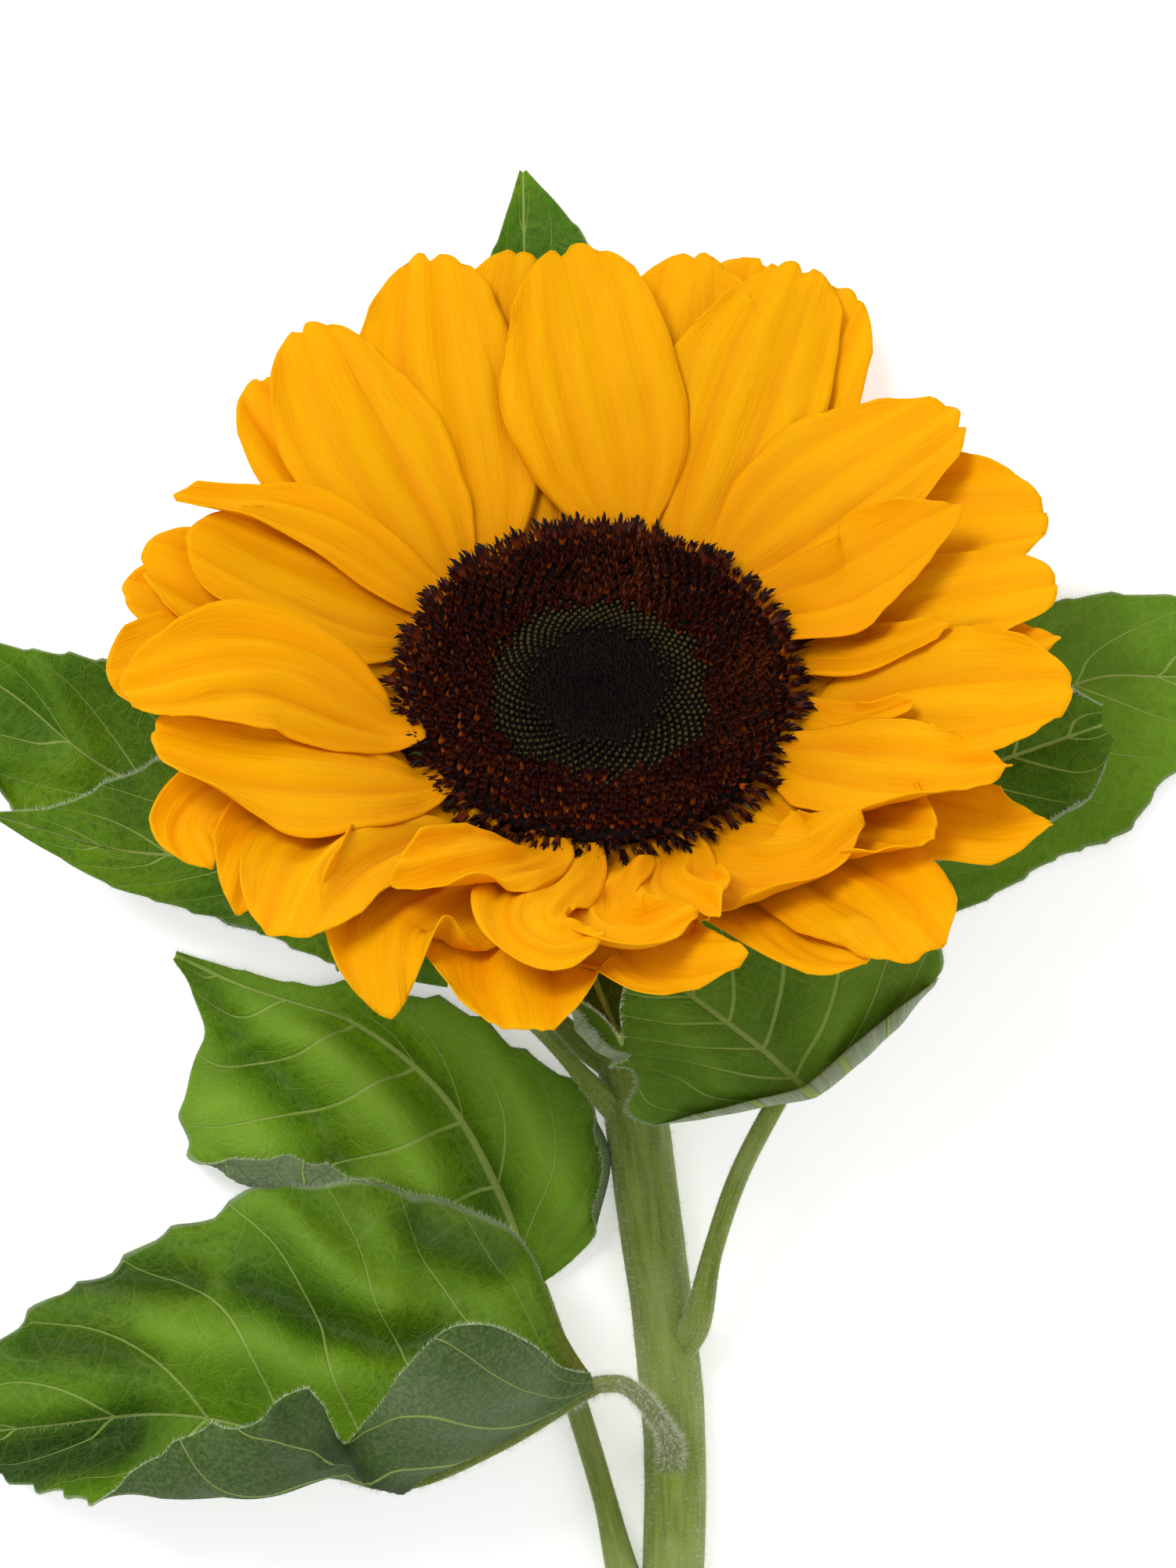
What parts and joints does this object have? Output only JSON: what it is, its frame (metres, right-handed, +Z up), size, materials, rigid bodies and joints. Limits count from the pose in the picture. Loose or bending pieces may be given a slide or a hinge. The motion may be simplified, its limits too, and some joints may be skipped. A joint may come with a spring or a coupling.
{
  "type": "cut sunflower",
  "caption": "Cut sunflower lying on its stem and leaves: domed dark disc ringed by overlapping yellow ray petals, broad hairy leaves and a slanted cut end.",
  "frame": {"origin": "on the surface the flower lies on, at the middle of its bounding box", "axes": "+Z up from the surface, +Y along the flower from the cut end of the stem to the head, +X to the right when looking down with the head at the top"},
  "size_m": [0.2216, 0.4118, 0.0865],
  "materials": {
    "petal": "satin",
    "disc": "matte",
    "green": "matte",
    "leaf": "satin",
    "stem": "matte"
  },
  "bodies": {
    "root": {"bract_1": "green", "bract_2": "green", "bract_3": "green", "bract_4": "green", "bract_5": "green", "bract_6": "green", "bract_7": "green", "bract_8": "green", "bract_9": "green", "disc": "disc", "leaf_front_folded": "leaf", "leaf_left_low": "leaf", "leaf_left_raised": "leaf", "leaf_lower_left_low": "leaf", "leaf_right_low": "leaf", "leaf_right_small": "leaf", "leaf_under_head": "leaf", "leaf_under_petals": "leaf", "petal_back_06": "petal", "petal_back_07": "petal", "petal_back_08": "petal", "petal_back_09": "petal", "petal_back_10": "petal", "petal_back_11": "petal", "petal_back_12": "petal", "petal_back_13": "petal", "petal_back_14": "petal", "petal_back_15": "petal", "petal_back_16": "petal", "petal_back_17": "petal", "petal_deep_01": "petal", "petal_deep_02": "petal", "petal_deep_03": "petal", "petal_deep_04": "petal", "petal_deep_05": "petal", "petal_front_31": "petal", "petal_front_32": "petal", "petal_front_33": "petal", "petal_front_34": "petal", "petal_front_35": "petal", "petal_front_36": "petal", "petal_front_37": "petal", "petal_front_38": "petal", "petal_front_39": "petal", "petal_front_40": "petal", "petal_middle_18": "petal", "petal_middle_19": "petal", "petal_middle_20": "petal", "petal_middle_21": "petal", "petal_middle_22": "petal", "petal_middle_23": "petal", "petal_middle_24": "petal", "petal_middle_25": "petal", "petal_middle_26": "petal", "petal_middle_27": "petal", "petal_middle_28": "petal", "petal_middle_29": "petal", "petal_middle_30": "petal", "receptacle": "green", "stem": "stem"}
  },
  "joints": []
}
